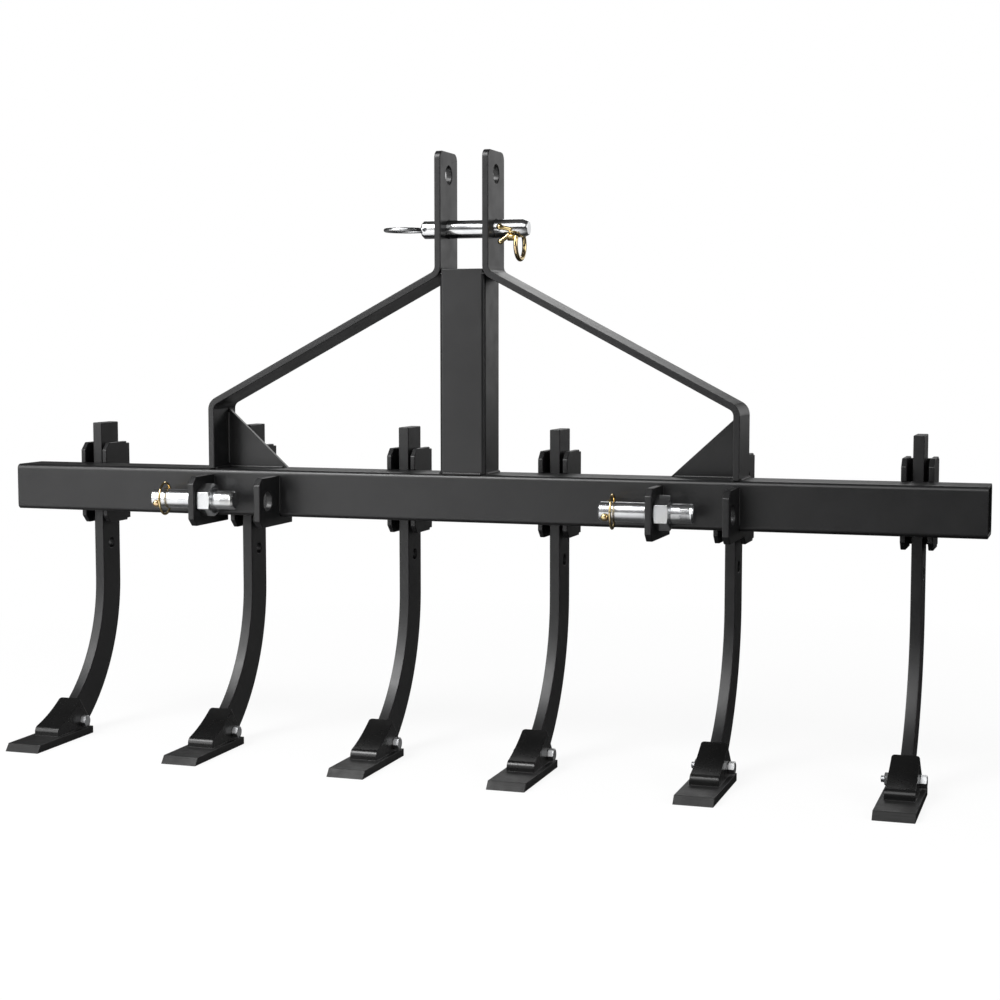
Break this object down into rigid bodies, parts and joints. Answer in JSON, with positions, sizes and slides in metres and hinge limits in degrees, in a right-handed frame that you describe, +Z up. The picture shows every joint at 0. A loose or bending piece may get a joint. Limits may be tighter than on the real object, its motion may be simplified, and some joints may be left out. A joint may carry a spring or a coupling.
{
  "type": "three-point tractor cultivator",
  "caption": "Three-point-hitch toolbar cultivator with a bent flat-bar A-frame mast and curved shanks that slide in clamps and end in bevelled shares.",
  "frame": {"origin": "on the common axis of the two lower hitch pins, midway between the outer faces of the outer hitch ears, where the tractor's lower links carry it", "axes": "+X along the toolbar to the right as seen from the tractor side, -Y towards the tractor and along the share tips, +Z up"},
  "size_m": [1.244, 0.268, 0.744],
  "materials": {
    "black_paint": "satin",
    "share_paint": "satin",
    "bright_zinc": "satin",
    "yellow_zinc": "polished"
  },
  "bodies": {
    "frame": {"toolbar": "black_paint", "mast_post": "black_paint", "mast_strap_left": "black_paint", "mast_strap_right": "black_paint", "gusset_left": "black_paint", "gusset_right": "black_paint", "hitch_ear_left_outer": "black_paint", "hitch_ear_left_inner": "black_paint", "hitch_ear_right_inner": "black_paint", "hitch_ear_right_outer": "black_paint", "lower_pin_left": "bright_zinc", "lower_pin_right": "bright_zinc", "lower_nut_left": "bright_zinc", "lower_nut_right": "bright_zinc", "lynch_pin_left": "yellow_zinc", "lynch_pin_right": "yellow_zinc", "top_link_pin": "bright_zinc", "lynch_pin_top": "yellow_zinc", "clamp_1": "black_paint", "clamp_2": "black_paint", "clamp_3": "black_paint", "clamp_4": "black_paint", "clamp_5": "black_paint", "clamp_6": "black_paint"},
    "shank_assembly_1": {"shank_1": "black_paint", "share_1": "share_paint"},
    "shank_assembly_2": {"shank_2": "black_paint", "share_2": "share_paint"},
    "shank_assembly_3": {"shank_3": "black_paint", "share_3": "share_paint"},
    "shank_assembly_4": {"shank_4": "black_paint", "share_4": "share_paint"},
    "shank_assembly_5": {"shank_5": "black_paint", "share_5": "share_paint"},
    "shank_assembly_6": {"shank_6": "black_paint", "share_6": "share_paint"}
  },
  "joints": [
    {"name": "shank_1_height", "type": "slide", "parent": "frame", "child": "shank_assembly_1", "axis": [0, 0, 1], "range_m": [-0.025, 0.07]},
    {"name": "shank_2_height", "type": "slide", "parent": "frame", "child": "shank_assembly_2", "axis": [0, 0, 1], "range_m": [-0.025, 0.07]},
    {"name": "shank_3_height", "type": "slide", "parent": "frame", "child": "shank_assembly_3", "axis": [0, 0, 1], "range_m": [-0.025, 0.07]},
    {"name": "shank_4_height", "type": "slide", "parent": "frame", "child": "shank_assembly_4", "axis": [0, 0, 1], "range_m": [-0.025, 0.07]},
    {"name": "shank_5_height", "type": "slide", "parent": "frame", "child": "shank_assembly_5", "axis": [0, 0, 1], "range_m": [-0.025, 0.07]},
    {"name": "shank_6_height", "type": "slide", "parent": "frame", "child": "shank_assembly_6", "axis": [0, 0, 1], "range_m": [-0.025, 0.07]}
  ]
}
